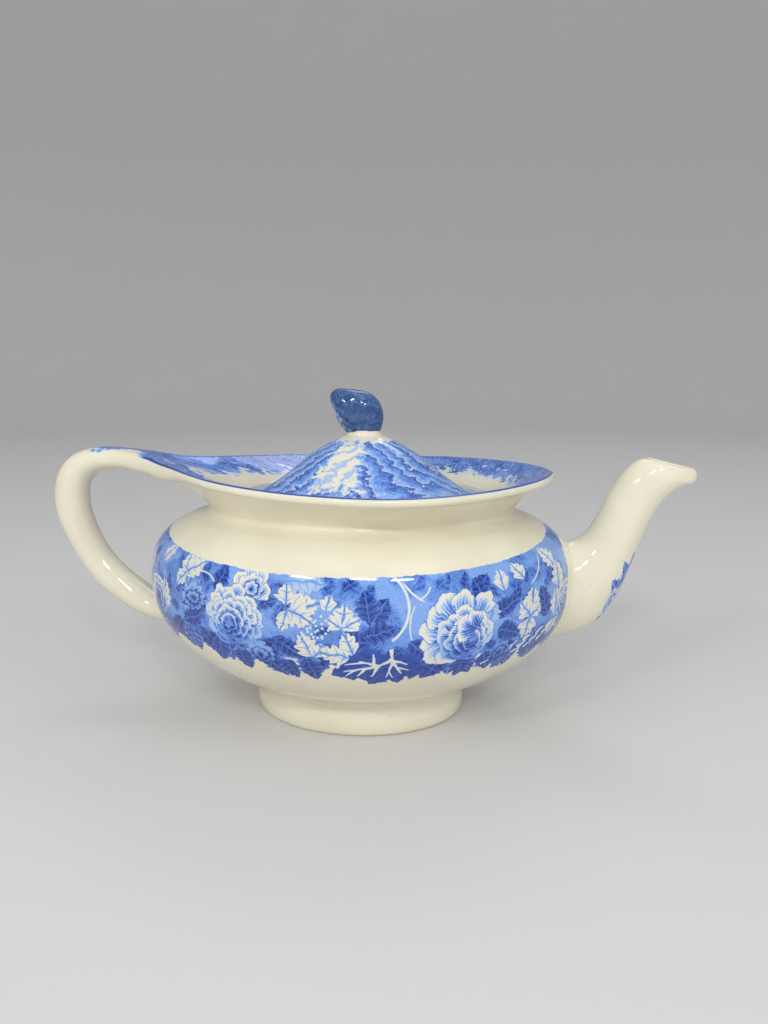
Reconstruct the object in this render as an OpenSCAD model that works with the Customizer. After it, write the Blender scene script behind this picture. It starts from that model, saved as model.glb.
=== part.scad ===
// Oval lidded teapot: squat bowl on a foot ring, wide dished rim that runs into a loop
// handle, swan-neck spout and a domed lid with a leaf knob.
// Millimetres, +Z up, +X towards the spout. The origin is on the table, under the bowl's middle.

/* [Bowl] */
// Longest outside length of the bowl, along X
bowl_length = 182; // [176:1:188]
// Width of the bowl and lid as a share of their length
oval = 0.77; // [0.74:0.01:0.8]
// Thickness of the bowl's wall
wall = 4.5; // [3.5:0.5:5.5]
// Height of the bowl's widest line above the table
belly_height = 60; // [59:0.5:61]
// Depth of the bowl below its widest line
belly_drop = 52; // [50:1:54]
// Height of the shoulder curve above the widest line
shoulder_rise = 35; // [34:0.5:36]

/* [Foot] */
// Half length of the foot ring on the table
foot_radius = 46.5; // [45:0.5:48]
// Thickness of the foot ring
foot_wall = 5; // [4:0.5:7]

/* [Rim] */
// Half length of the dished rim
rim_radius = 77; // [74:1:79]
// Width of the rim as a share of its length
rim_oval = 0.84; // [0.8:0.01:0.88]
// How far the rim's middle stands towards the spout
rim_shift = 5.5; // [4:0.5:7]
// Height of the rim's edge above the table
rim_height = 105.3; // [104:0.1:107]

/* [Lid] */
// How far the lid's middle stands towards the spout
lid_shift = 2.5; // [1:0.5:4]
// Half length of the lid's edge
lid_radius = 50.5; // [49:0.5:51.5]
// Height of the lid's dome above its edge
dome_rise = 25; // [20:1:30]
// Half length of the mouth in the collar
mouth_radius = 44.5; // [43:0.5:45.5]
// Gap all round between the mouth and the ring under the lid
lid_gap = 1.5; // [1:0.25:2.5]
// Length of the leaf knob from root to tip
knob_length = 22; // [18:1:26]

/* [Spout] */
// Thickness of the spout's wall
spout_wall = 3; // [2.5:0.25:3.5]
// Diameter of one strainer hole
strainer_hole = 4.5; // [3:0.5:5.5]

/* [Hidden] */
$fn = 96;
bowl_radius = bowl_length / 2;
bowl_top = 88.5;          // the bowl's cut edge, where the collar starts
seat_height = 94;         // the ledge the lid rests on, and the underside of the rim
collar_shift = 1;         // how far the collar's middle stands towards the spout
sink = 1.2;               // how far the handle and spout are pressed into the bowl's wall
seat_radius = lid_radius + 1;
strap_steps = 4;          // sections made between two neighbouring stations

glaze = [0.89, 0.87, 0.78];
print_blue = [0.30, 0.47, 0.80];
knob_blue = [0.12, 0.22, 0.48];

// ---- curves ----

// A point on a smooth curve through p1 and p2, with p0 and p3 as their neighbours.
function through(p0, p1, p2, p3, t) =
    0.5 * (2 * p1 + (p2 - p0) * t + (2 * p0 - 5 * p1 + 4 * p2 - p3) * t * t
           + (3 * p1 - p0 - 3 * p2 + p3) * t * t * t);

// The smooth curve through all of list p, in n steps from each entry to the next.
function curve(p, n) = [
    for (i = [0 : len(p) - 2], k = [0 : n - 1])
        through(p[max(i - 1, 0)], p[i], p[i + 1], p[min(i + 2, len(p) - 1)], k / n),
    p[len(p) - 1]
];

// Half length of the bowl at height z; inset moves the curve inwards.
function bowl_at(z, inset = 0) =
    let (r = bowl_radius - inset, h = z - belly_height)
    h < 0 ? r * sqrt(1 - pow(min(1, -h / (belly_drop - inset)), 2))
          : r * pow(1 - pow(min(1, h / (shoulder_rise - inset)), 3), 1 / 3);

// Bowl outline from the middle of its base up to bowl_top; closer steps near the base.
function bowl_side(inset, steps = 22) = [
    for (i = [0 : steps])
        let (bottom = belly_height - belly_drop + inset,
             z = bottom + (bowl_top - bottom) * (1 - cos(90 * i / steps)))
        [i == 0 ? 0 : bowl_at(z, inset), z]
];

// How far along X the bowl's outer face is at a sideways distance y and height z.
function wall_x(y, z) = sqrt(pow(bowl_at(z), 2) - pow(y / oval, 2));

// ---- swept shapes ----
// A station is one cross-section: [outer x, outer z, inner x, inner z, half width, dish].
// The section is an oval between its outer and inner points; dish hollows its outer face.

function section(s, sides) = [
    for (k = [0 : sides - 1])
        let (a = 360 * k / sides, up = sin(a),
             along = 0.5 + up / 2 - (up > 0 ? s[5] * up * up : 0))
        [s[2] + (s[0] - s[2]) * along, s[4] * cos(a), s[3] + (s[1] - s[3]) * along]
];

// A section that lies on the bowl's wall; side is 1 at the spout and -1 at the handle.
function root_section(s, sides, side) = [
    for (p = section(s, sides)) [side * (wall_x(p[1], p[2]) - sink), p[1], p[2]]
];

// Faces between ring a and ring b, given the number of the first point of each.
function band(a, b, sides) = [
    for (k = [0 : sides - 1]) let (n = (k + 1) % sides)
        each [[a + k, b + k, b + n], [a + k, b + n, a + n]]
];

// A solid bar through a list of rings.
module bar(rings) {
    sides = len(rings[0]);
    last = (len(rings) - 1) * sides;
    polyhedron(
        points = [for (r = rings) each r],
        faces = [
            for (i = [0 : len(rings) - 2]) each band(i * sides, (i + 1) * sides, sides),
            for (k = [1 : sides - 2]) [0, k, k + 1],
            for (k = [1 : sides - 2]) [last, last + k + 1, last + k]
        ],
        convexity = 8);
}

// A pipe between a list of outer rings and the matching list of inner rings.
module pipe(outer, inner) {
    sides = len(outer[0]);
    half = len(outer) * sides;
    last = half - sides;
    polyhedron(
        points = [for (r = outer) each r, for (r = inner) each r],
        faces = [
            for (i = [0 : len(outer) - 2]) each band(i * sides, (i + 1) * sides, sides),
            for (i = [0 : len(inner) - 2])
                each band(half + (i + 1) * sides, half + i * sides, sides),
            each band(half, 0, sides),
            each band(last, half + last, sides)
        ],
        convexity = 8);
}

// An oval turned shape: an outline of [half length, height] points round the Z axis,
// made a quarter turn at a time.
module oval_turned(outline, share, shift = 0) {
    for (quarter = [0 : 3])
        translate([shift, 0, 0]) scale([1, share, 1]) rotate([0, 0, 90 * quarter])
            rotate_extrude(angle = 90) polygon(outline);
}

// An oval hole or plug of half length r from height low up to height high.
module oval_plug(r, low, high) {
    translate([lid_shift, 0, low]) scale([1, oval, 1]) cylinder(r = r, h = high - low);
}

// ---- the pot ----

// Hollow bowl with the strainer holes behind the spout.
module bowl() {
    inner = bowl_side(wall);
    outline = concat(bowl_side(0), [for (i = [len(inner) - 1 : -1 : 0]) inner[i]]);
    row_pitch = strainer_hole * 1.8;
    color(glaze) difference() {
        oval_turned(outline, oval);
        for (row = [-2 : 2], col = [-1 : 1])
            if (abs(row) + abs(col) < 3)
                translate([bowl_radius - 4 * wall, col * row_pitch, 56 + row * row_pitch * 0.9])
                    rotate([0, 90, 0]) cylinder(d = strainer_hole, h = 5 * wall);
    }
}

// Foot ring with a rounded tread, reaching up to the bowl's underside.
module foot_ring() {
    top = 17;
    tread = 2.2;
    mid = foot_radius - foot_wall / 2;
    color(glaze) difference() {
        oval_turned([
            [foot_radius - foot_wall, top], [foot_radius - foot_wall, tread],
            [mid - 1, 0], [mid + 1, 0], [foot_radius, tread],
            [foot_radius + 0.7, 6], [foot_radius - 0.2, 9], [foot_radius + 1.6, top]
        ], oval);
        oval_turned(concat(bowl_side(0.4), [[0, bowl_top]]), oval);
    }
}

// Waisted collar; the lid rests on the flat part of its top, round the mouth.
module collar() {
    waist = 65.5;
    above = seat_height + 4;
    outside = curve([[bowl_at(bowl_top), bowl_top], [waist + 1.2, 89.9], [waist, 91.6],
                     [waist + 0.8, seat_height], [waist + 4, above]], 4);
    color(glaze) difference() {
        oval_turned(concat(outside, [[0, above], [0, bowl_top]]), oval, collar_shift);
        rim_ring();
        oval_plug(seat_radius, seat_height, 2 * rim_height);
        oval_plug(mouth_radius, 0, 2 * rim_height);
    }
}

// The dished ring of the rim, before its hole is cut.
module rim_ring() {
    edge = rim_radius;
    top = rim_height;
    hole = mouth_radius - 1;
    under = curve([[hole, seat_height], [61, seat_height], [70, top - 9],
                   [edge - 1.4, top - 3.6]], 4);
    lip = curve([[edge - 1.4, top - 3.6], [edge, top - 1.6], [edge - 0.6, top - 0.3],
                 [edge - 2, top]], 3);
    dish = curve([[edge - 2, top], [edge - 8, top - 2.4], [edge - 18, top - 5.4],
                  [hole, top - 7.6]], 4);
    oval_turned(concat(under, lip, dish), rim_oval, rim_shift);
}

// Wide dished rim; its hole is the lid's oval.
module rim() {
    color(print_blue) difference() {
        rim_ring();
        oval_plug(seat_radius, 0, 2 * rim_height);
    }
}

// Strap that leaves the rim as a wide wing, narrows, loops down and joins the bowl.
module handle() {
    stations = [
        [-60, 106.2, -60, 101.5, 36.5, 0.9],
        [-70, 107.8, -70, 103.6, 27.8, 0.75],
        [-80, 109.4, -80, 103.4, 18.4, 0.35],
        [-90, 111.6, -89, 102.9, 12.2, 0.12],
        [-101, 113.8, -101, 104.2, 8.8, 0],
        [-115, 114.3, -112, 104.2, 7.6, 0],
        [-130, 110.2, -121.5, 101.3, 7.2, 0],
        [-139, 97.5, -125, 94, 7, 0],
        [-138.6, 83, -124.5, 84.5, 7, 0],
        [-133.2, 69.8, -119.7, 71.5, 7, 0],
        [-122.5, 53.6, -111.5, 62, 7, 0],
        [-107.5, 40.8, -101.5, 53.6, 7.6, 0],
        [-95, 35.6, -94.5, 49.6, 8.4, 0],
        [-86, 33.6, -86, 49.2, 9.2, 0]
    ];
    all = curve(stations, strap_steps);
    loop = [for (i = [0 : len(all) - 3]) section(all[i], 24)];
    color(glaze) bar(concat(loop, [root_section(all[len(all) - 1], 24, -1)]));
}

// Swan-neck spout, open at the mouth and over the strainer holes.
module spout() {
    // [back x, back z, front x, front z, half width, dish]
    outer = [
        [87, 77.5, 86, 34.5, 17, 0],
        [91, 78, 98, 39, 15, 0],
        [94.8, 80.2, 107.8, 50.3, 12.6, 0],
        [98.2, 84.2, 113, 62.8, 11, 0],
        [103.6, 95.6, 119.6, 81.5, 9.8, 0],
        [110.6, 108, 125.6, 95.2, 9, 0],
        [114, 111.8, 132.4, 101.6, 8.6, 0],
        [117.4, 113.3, 139.2, 106.2, 7.4, 0]
    ];
    rings = curve(outer, 4);
    // The bore: each section drawn in by the wall on every side.
    inner = [for (s = rings)
        let (deep = norm([s[0] - s[2], s[1] - s[3]]), k = spout_wall / deep)
        [s[0] + (s[2] - s[0]) * k, s[1] + (s[3] - s[1]) * k,
         s[2] + (s[0] - s[2]) * k, s[3] + (s[1] - s[3]) * k, s[4] - spout_wall, 0]
    ];
    color(glaze) pipe(
        [for (i = [0 : len(rings) - 1])
            i == 0 ? root_section(rings[0], 28, 1) : section(rings[i], 28)],
        [for (i = [0 : len(rings) - 1])
            i == 0 ? root_section(inner[0], 28, 1) : section(inner[i], 28)]);
}

// ---- the lid ----

// Hollow dome with a turned-down edge and a steam hole at the back.
module lid_dome() {
    r = lid_radius;
    base = seat_height;
    shell = 3.6;
    top = base + 2.3 + dome_rise;
    side = curve([[r, base + 1.2], [r - 1, base + 2.2], [r * 0.88, base + 3.6],
                  [r * 0.76, base + 7.1], [r * 0.54, base + 16.2],
                  [r * 0.3, top - 2.6], [r * 0.16, top - 0.2], [0, top]], 4);
    hollow = curve([[0, top - shell], [r * 0.22, top - shell - 1.6], [r * 0.5, base + 13],
                    [r * 0.68, base + 5], [r * 0.72, base]], 4);
    color(print_blue) difference() {
        oval_turned(concat([[r, base]], side, hollow), oval, lid_shift);
        translate([lid_shift, r * 0.24, base]) cylinder(d = 4, h = 2 * dome_rise);
    }
}

// Ring under the lid that drops into the mouth and keeps the lid in place.
module lid_ring() {
    outside = mouth_radius - lid_gap;
    depth = 8;
    color(glaze) oval_turned([
        [outside - 4, seat_height + 1], [outside - 3, seat_height - depth],
        [outside - 0.8, seat_height - depth], [outside, seat_height - depth + 1.5],
        [outside, seat_height], [outside - 1, seat_height + 1]
    ], oval, lid_shift);
}

// White collar between the dome and the knob.
module knob_collar() {
    base = seat_height + 2.3 + dome_rise - 1;
    color(glaze) translate([lid_shift, 0, base]) rotate_extrude() polygon([
        [0, 0], [8.2, 0], [7.4, 1.2], [6, 2.2], [5, 3.4], [0, 3.4]
    ]);
}

// Flattened leaf bud, leaning towards the handle.
module lid_knob() {
    half = 8.6;
    lean = -32;
    base = seat_height + 2.3 + dome_rise + 1.2;
    side = curve([[3.6, 0], [half * 0.82, knob_length * 0.2], [half, knob_length * 0.42],
                  [half * 0.78, knob_length * 0.68], [half * 0.36, knob_length * 0.9]], 4);
    color(knob_blue) translate([lid_shift + 2.4, 0, base]) rotate([0, lean, 0])
        oval_turned(concat([[0, -1.5], [3.4, -1.5]], side, [[0, knob_length]]), 0.72);
}

bowl();
foot_ring();
collar();
rim();
handle();
spout();
lid_dome();
lid_ring();
knob_collar();
lid_knob();
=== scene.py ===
import math

import bmesh
import bpy
import numpy as np
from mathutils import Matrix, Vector


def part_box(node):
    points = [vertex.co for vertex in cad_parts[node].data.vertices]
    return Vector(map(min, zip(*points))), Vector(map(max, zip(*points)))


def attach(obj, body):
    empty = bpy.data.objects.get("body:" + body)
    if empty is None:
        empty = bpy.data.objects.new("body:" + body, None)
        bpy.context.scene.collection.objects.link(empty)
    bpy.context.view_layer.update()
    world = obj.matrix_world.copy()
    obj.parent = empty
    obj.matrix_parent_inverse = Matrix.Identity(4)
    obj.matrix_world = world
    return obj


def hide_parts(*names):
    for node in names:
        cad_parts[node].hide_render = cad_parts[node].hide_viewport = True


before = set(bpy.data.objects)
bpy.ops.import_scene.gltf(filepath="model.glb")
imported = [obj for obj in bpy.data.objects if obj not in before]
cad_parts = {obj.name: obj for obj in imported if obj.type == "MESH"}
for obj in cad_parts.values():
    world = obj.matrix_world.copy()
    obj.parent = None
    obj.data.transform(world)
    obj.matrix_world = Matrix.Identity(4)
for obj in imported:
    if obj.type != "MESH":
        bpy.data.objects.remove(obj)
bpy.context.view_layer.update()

# The object is a glazed oval teapot. Shapes below are written in millimetres of the pot as it
# stands in the frame: +X to the spout, -Y to the printed front, +Z up, origin on the table.
bowl_low, bowl_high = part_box("bowl")
lid_low, lid_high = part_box("lid_dome")
foot_low, foot_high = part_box("foot_ring")
rim_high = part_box("rim")[1]

BOWL_LENGTH = 182.0
MM = (bowl_high.x - bowl_low.x) / BOWL_LENGTH  # metres in one millimetre of the drawing
BELLY = BOWL_LENGTH / 2  # half length of the bowl at its widest line
OVAL = (bowl_high.y - bowl_low.y) / (bowl_high.x - bowl_low.x)
LID_X = (lid_low.x + lid_high.x) / 2 / MM  # middle of the lid and of its seat
LID_EDGE = (lid_high.x - lid_low.x) / 2 / MM
SEAT_Z = lid_low.z / MM  # the ledge the lid rests on
RIM_RIGHT = rim_high.x / MM
FOOT_EDGE = (foot_high.x - foot_low.x) / 2 / MM
BELLY_Z = 60.0  # height of the bowl's widest line
BELLY_DROP = 52.0  # depth of the bowl's curve below that line
SHOULDER_RISE = 35.0  # and its height above it
WALL = 4.5
COLUMNS = 300  # columns of the meshes that go round the pot


# ------------------------ curves and meshes

def smooth(points, steps):
    """A smooth curve through every point, with steps pieces between neighbours."""
    p = np.array(points, float)
    out = []
    for i in range(len(p) - 1):
        a, b, c, d = p[max(i - 1, 0)], p[i], p[i + 1], p[min(i + 2, len(p) - 1)]
        for k in range(steps):
            t = k / steps
            out.append(0.5 * (2 * b + (c - a) * t + (2 * a - 5 * b + 4 * c - d) * t ** 2
                              + (3 * b - a - 3 * c + d) * t ** 3))
    out.append(p[-1])
    return np.array(out)


def spaced(curve, count):
    """The same curve as count points at even distances along it."""
    walked = np.concatenate([[0], np.cumsum(np.linalg.norm(np.diff(curve, axis=0), axis=1))])
    at = np.linspace(0, walked[-1], count)
    return np.stack([np.interp(at, walked, curve[:, k]) for k in range(curve.shape[1])], 1)


def bowl_at(z, inset=0.0):
    """Half length of the bowl at height z; inset moves the curve inwards."""
    rise = np.asarray(z, float) - BELLY_Z
    below = np.clip(-rise / (BELLY_DROP - inset), 0, 1)
    above = np.clip(rise / (SHOULDER_RISE - inset), 0, 1)
    share = np.where(rise < 0, np.sqrt(1 - below ** 2), np.cbrt(1 - above ** 3))
    return (BELLY - inset) * share


def wall_x(y, z):
    """How far along X the bowl's outer face is, at sideways distance y and height z."""
    return np.sqrt(np.maximum(bowl_at(z) ** 2 - (y / OVAL) ** 2, 0))


def oval_ring(radius, z, middle, angles):
    """Points round an oval, one for each angle."""
    return np.stack([middle + radius * np.cos(angles), OVAL * radius * np.sin(angles),
                     np.full_like(angles, z)], 1)


def turned(profile, angles, middle=0.0):
    """Rows of points for an oval turned shape with [half length, height] or, with a third
    value, [half length, height, middle] in its profile."""
    rows = []
    for p in profile:
        at = p[2] if len(p) > 2 else middle
        rows.append(oval_ring(p[0], p[1], at, angles))
    return np.array(rows)


def grid_faces(first, count, width, closed=True):
    """Four-sided faces over count rows of width points, numbered on from first."""
    faces = []
    for i in range(count - 1):
        for j in range(width if closed else width - 1):
            k = (j + 1) % width
            a, b = first + i * width, first + (i + 1) * width
            faces.append((a + j, a + k, b + k, b + j))
    return faces


def added(name, data):
    """A new object of the scene with this mesh, lamp or camera."""
    thing = bpy.data.objects.new(name, data)
    bpy.context.scene.collection.objects.link(thing)
    return thing


def build(name, grids, body, nodes, material):
    """One smooth mesh from grids. A grid is (rows, closed, marks): rows of points in mm, whether
    each row closes on itself, and values kept on the points by name for the material, each one
    number or an array that spreads over the rows and points. All grids carry the same names."""
    points, faces = [], []
    marks = {}
    for rows, closed, values in grids:
        faces.extend(grid_faces(len(points), *rows.shape[:2], closed))
        points.extend(rows.reshape(-1, 3) * MM)
        for key, numbers in values.items():
            marks.setdefault(key, []).extend(np.broadcast_to(numbers, rows.shape[:2]).reshape(-1))
    mesh = bpy.data.meshes.new(name)
    mesh.from_pydata([tuple(p) for p in points], [], faces)
    for key, numbers in marks.items():
        mesh.attributes.new(key, "FLOAT", "POINT").data.foreach_set("value", numbers)
    work = bmesh.new()
    work.from_mesh(mesh)
    bmesh.ops.remove_doubles(work, verts=work.verts, dist=0.004 * MM)
    bmesh.ops.dissolve_degenerate(work, edges=work.edges, dist=0.002 * MM)
    bmesh.ops.recalc_face_normals(work, faces=work.faces)
    work.to_mesh(mesh)
    work.free()
    mesh.polygons.foreach_set("use_smooth", [True] * len(mesh.polygons))
    mesh.materials.append(material)
    piece = added(name, mesh)
    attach(piece, body)
    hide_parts(*nodes)


# ------------------------ fields for the print

class Field:
    """A number that varies over a surface. Arithmetic on it adds nodes to the open material."""
    tree = None

    def __init__(self, socket):
        self.socket = socket

    def __neg__(self):
        return calc("MULTIPLY", self, -1.0)


ARITHMETIC = (("add", "ADD"), ("sub", "SUBTRACT"), ("mul", "MULTIPLY"), ("truediv", "DIVIDE"))
for operator, operation in ARITHMETIC:
    setattr(Field, f"__{operator}__", lambda a, b, does=operation: calc(does, a, b))
    setattr(Field, f"__r{operator}__", lambda a, b, does=operation: calc(does, b, a))


def new_node(kind):
    """A shader node in the open material or stamp."""
    return Field.tree.nodes.new("ShaderNode" + kind)


def feed(socket, value):
    """Link a field or a node's output to an input, or set the input to a plain value."""
    if isinstance(value, Field):
        value = value.socket
    if isinstance(value, bpy.types.NodeSocket):
        Field.tree.links.new(value, socket)
    else:
        socket.default_value = value


def calc(operation, *values, clamp=False):
    """A new field from one operation of Blender's Math node."""
    node = new_node("Math")
    node.operation = operation
    for socket, value in zip(node.inputs, values):
        feed(socket, value)
    result = Field(node.outputs[0])
    return clamped(result) if clamp else result


def clamped(value):
    """Held between 0 and 1, by a node of its own: that keeps a long print within memory."""
    node = new_node("Clamp")
    feed(node.inputs[0], value)
    return Field(node.outputs[0])


def scaled(value, factor, plus, clamp=False):
    """value * factor + plus."""
    return calc("MULTIPLY_ADD", value, factor, plus, clamp=clamp)


def fraction(value):
    """What is left of value above the whole number below it: a saw-tooth of height 1."""
    return calc("FRACT", value)


def blend(a, b, share):
    """a where share is 0 and b where share is 1."""
    node = new_node("Mix")
    node.data_type = "FLOAT"
    feed(node.inputs[0], share)
    feed(node.inputs[2], a)
    feed(node.inputs[3], b)
    return Field(node.outputs[0])


def point(x, y, z=0.0):
    node = new_node("CombineXYZ")
    for socket, value in zip(node.inputs, (x, y, z)):
        feed(socket, value)
    return node.outputs[0]


def noise(where, scale, detail=2.0, rough=0.5, warp=0.0):
    node = new_node("TexNoise")
    feed(node.inputs["Vector"], where)
    feed(node.inputs["Scale"], scale)
    feed(node.inputs["Detail"], detail)
    feed(node.inputs["Roughness"], rough)
    feed(node.inputs["Distortion"], warp)
    return Field(node.outputs["Fac"])


def cells(where, scale, dimensions="3D"):
    """Distance to the nearest of many scattered points."""
    node = new_node("TexVoronoi")
    node.voronoi_dimensions = dimensions
    feed(node.inputs["Vector"], where)
    feed(node.inputs["Scale"], scale)
    return Field(node.outputs["Distance"])


def attribute(name):
    node = new_node("Attribute")
    node.attribute_name = name
    return Field(node.outputs["Fac"])


def place():
    """Object position in millimetres, as a vector and as three fields."""
    spot = new_node("TexCoord")
    grow = new_node("VectorMath")
    grow.operation = "SCALE"
    feed(grow.inputs["Scale"], 1 / MM)
    feed(grow.inputs[0], spot.outputs["Object"])
    split = new_node("SeparateXYZ")
    feed(split.inputs[0], grow.outputs[0])
    return [grow.outputs[0]] + [Field(part) for part in split.outputs]


def turned_axes(u, v, at, degrees, long, wide):
    """u and v measured from a point, along and across a direction, in shares of long and wide."""
    c, s = math.cos(math.radians(degrees)), math.sin(math.radians(degrees))
    along = scaled(u, c / long, scaled(v, s / long, -(at[0] * c + at[1] * s) / long))
    across = scaled(u, -s / wide, scaled(v, c / wide, (at[0] * s - at[1] * c) / wide))
    return along, across


# ------------------------ printed motifs
# A print is one field of tone: 0 is bare glaze, 0.5 the mid blue ground and 1 the darkest blue.

def stamp(draw):
    """Make draw a node group: built at its first call, and placed again at every later one."""
    def place_stamp(*values):
        if draw.__name__ not in bpy.data.node_groups:
            build_stamp(draw, len(values))
        node = new_node("Group")
        node.node_tree = bpy.data.node_groups[draw.__name__]
        for socket, value in zip(node.inputs, values):
            feed(socket, value)
        return Field(node.outputs[0])
    return place_stamp


def build_stamp(draw, count):
    outside = Field.tree
    group = bpy.data.node_groups.new(draw.__name__, "ShaderNodeTree")
    Field.tree = group
    for i in range(count):
        group.interface.new_socket(f"value_{i}", in_out="INPUT", socket_type="NodeSocketFloat")
    group.interface.new_socket("tone", in_out="OUTPUT", socket_type="NodeSocketFloat")
    given = group.nodes.new("NodeGroupInput")
    result = draw(*[Field(given.outputs[i]) for i in range(count)])
    feed(group.nodes.new("NodeGroupOutput").inputs[0], result)
    Field.tree = outside


@stamp
def toothed_blade(tone, p, q, blade, edge, teeth):
    """A leaf with sharp teeth. p runs 0 to 1 from stalk to tip, q is across, 1 at half width."""
    q = calc("ABSOLUTE", q)
    kept = clamped(p)
    swell = calc("SINE", calc("POWER", kept, 0.72) * math.pi)
    saw = fraction(scaled(p, teeth, q * -0.9))
    inside = swell * scaled(saw, -0.34, 1.10) - q
    side = scaled(calc("ABSOLUTE", saw - 0.5), -7.0, 1.1)
    vein = calc("MAXIMUM", side, scaled(q, -12.0, 1.4), clamp=True)
    shade = blend(blade, edge, calc("MAXIMUM", vein * 0.85, scaled(saw, -0.75, scaled(q, 0.9, 0.30))))
    return blend(tone, shade, scaled(inside, 26.0, 0.0))


@stamp
def lobed_blade(tone, p, q, blade, vein, lobes):
    """A leaf with rounded lobes, each with a side vein that fades towards its edge."""
    q = calc("ABSOLUTE", q)
    kept = clamped(p)
    swell = calc("SINE", calc("POWER", kept, 0.78) * math.pi)
    part = fraction(scaled(p, lobes, q * -0.8))
    inside = swell * scaled(calc("SINE", part * math.pi), 0.44, 0.64) - q
    side = scaled(calc("ABSOLUTE", part - 0.5), -9.0, scaled(q, -0.9, 1.25))
    lines = calc("MAXIMUM", side, scaled(q, -11.0, 1.5), clamp=True)
    depth = scaled(q, -1.5, scaled(kept, -0.6, 0.75), clamp=True)
    shade = blend(blade, vein, calc("MAXIMUM", lines, depth * 0.7))
    return blend(tone, shade, scaled(inside, 26.0, 0.0))


@stamp
def petal_blade(tone, p, q, base, tip):
    """A broad rounded petal: shaded at its root, lined, pale at its edge, with a thin outline."""
    kept = clamped(p)
    frill = calc("SINE", scaled(q, 11.0, p * 6.0))
    arch = calc("POWER", calc("SINE", calc("POWER", kept, 1.7) * math.pi), 0.7)
    swell = arch * scaled(frill, 0.08, 1.0)
    inside = swell - calc("ABSOLUTE", q)
    lines = calc("SINE", q * 24.0) * scaled(kept, -0.35, 0.45)
    shade = blend(base, tip, scaled(inside, -0.8, scaled(kept, 2.2, -0.30) + lines))
    shade = blend(0.66, shade, scaled(inside, 9.0, -0.4))
    return blend(tone, shade, scaled(inside, 30.0, 0.0))


@stamp
def flower_head(tone, x, y, petals, rings, dark, pale, shadow, fine):
    """Rings of scalloped petals, pale at their tips and dark at their roots, larger above."""
    away = calc("SQRT", scaled(x, x, y * y))
    angle = calc("ARCTAN2", y, x)
    scallop = calc("ABSOLUTE", calc("SINE", scaled(angle, petals * 0.5, away * rings * 2.1)))
    reach = away * rings / (scaled(scallop, 0.26, 0.80) * scaled(calc("SINE", angle), 0.16, 0.98))
    step = fraction(reach)
    base = calc("POWER", 1.0 - step, 1.5)
    lines = calc("SINE", angle * fine) * 0.10
    fade = scaled(y, -shadow, scaled(away, -0.30, 0.20))
    shade = blend(pale, dark, scaled(base, 0.90, lines + fade))
    return blend(tone, shade, calc("MULTIPLY", rings - reach, 9.0))


@stamp
def stroke_line(tone, p, q, shade):
    """A line along p from 0 to 1 that grows thinner towards its end."""
    over = calc("ABSOLUTE", scaled(p, 2.0, -1.0))
    thin = scaled(p, 0.5, calc("ABSOLUTE", q))
    return blend(tone, shade, calc("MINIMUM", scaled(thin, -2.4, 2.4), scaled(over, -9.0, 9.4)))


@stamp
def stem_arc(tone, x, y, radius, c, s, reach, width, shade):
    """The part of a circle's line that faces [c, s] to within an angle with cosine reach."""
    away = calc("SQRT", scaled(x, x, y * y))
    on_line = scaled(calc("ABSOLUTE", away - radius), -3.0 / width, 1.7, clamp=True)
    facing = scaled(x, c, y * s) / away
    return blend(tone, shade, on_line * clamped((facing - reach) * 30.0))


def dark_leaf(tone, u, v, at, degrees, long, wide, blade=0.92, edge=0.58, teeth=5.0):
    p, q = turned_axes(u, v, at, degrees, long, wide)
    return toothed_blade(tone, p, q, blade, edge, teeth)


def pale_leaf(tone, u, v, at, degrees, long, wide, lobes, blade=0.02, vein=0.58):
    p, q = turned_axes(u, v, at, degrees, long, wide)
    return lobed_blade(tone, p, q, blade, vein, lobes)


def petal(tone, u, v, at, degrees, long, wide, base=0.66, tip=0.0):
    p, q = turned_axes(u, v, at, degrees, long, wide)
    return petal_blade(tone, p, q, base, tip)


def flower(tone, u, v, at, radius, petals, rings, degrees=0.0, squash=1.0, dark=0.95, pale=0.0,
           shadow=0.35, fine=34.0):
    x, y = turned_axes(u, v, at, degrees, radius, radius * squash)
    return flower_head(tone, x, y, petals, rings, dark, pale, shadow, fine)


ROOT = 0.42  # where a petal of a bloom starts, as a share of its reach


def bloom(tone, u, v, at, radius, rows, heart=(0.0, 0.0)):
    """A full flower of overlapping rows of petals, outer rows first; the lower petals lie in
    shade. The inmost row is moved by heart from the middle of the outer one."""
    for row, count in enumerate(rows):
        inner = row / len(rows)
        reach = radius * (1 - inner) ** 0.8
        middle = (at[0] + heart[0] * inner, at[1] + heart[1] * inner)
        for i in range(count):
            turn = 360 * (i + 0.5 * (row % 2)) / count + 9 * math.sin(5 * i + row)
            c, up = math.cos(math.radians(turn)), math.sin(math.radians(turn))
            far = reach * (0.97 + 0.10 * up + 0.05 * math.sin(9 * i + row))
            root = (middle[0] + ROOT * far * c, middle[1] + ROOT * far * up)
            shade = 0.5 - 0.5 * up
            tone = petal(tone, u, v, root, turn, (1 - ROOT) * far, 3.7 * reach / count,
                         0.76 + 0.24 * shade, 0.60 * shade ** 2)
    return tone


def stroke(tone, u, v, start, end, width, shade=0.03):
    """A straight tapering stroke between two points."""
    run = math.hypot(end[0] - start[0], end[1] - start[1])
    turn = math.degrees(math.atan2(end[1] - start[1], end[0] - start[0]))
    p, q = turned_axes(u, v, start, turn, run, width)
    return stroke_line(tone, p, q, shade)


def stem(tone, u, v, middle, radius, start, end, width, shade=0.02):
    """Part of a circle drawn as a line, between two directions in degrees."""
    turn = math.radians((start + end) / 2)
    half = math.radians((end - start) / 2)
    return stem_arc(tone, u - middle[0], v - middle[1], radius, math.cos(turn), math.sin(turn),
                    math.cos(half), width, shade)


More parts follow.
